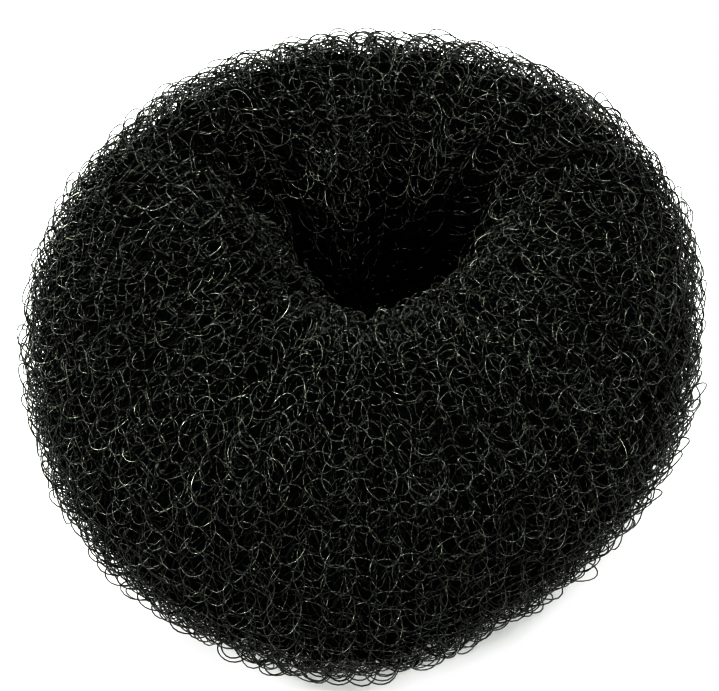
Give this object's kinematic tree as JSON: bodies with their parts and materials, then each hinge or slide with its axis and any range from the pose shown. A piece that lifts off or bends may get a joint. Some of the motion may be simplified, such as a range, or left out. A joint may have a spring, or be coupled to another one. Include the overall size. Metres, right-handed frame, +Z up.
{
  "type": "hair donut bun maker",
  "caption": "Soft thick ring of rolled, springy knitted filament mesh with a puckered hole through its middle, for wrapping long hair into a bun.",
  "frame": {"origin": "middle of the ring's outline on the surface that it lies on", "axes": "+Z up through the hole, -Y towards the front of the ring, +X to its right"},
  "size_m": [0.085, 0.0838, 0.049],
  "materials": {
    "knitted_filament": "glossy black filament in an open, springy knit"
  },
  "bodies": {
    "root": {"rolled_mesh_ring": "knitted_filament"}
  },
  "joints": []
}
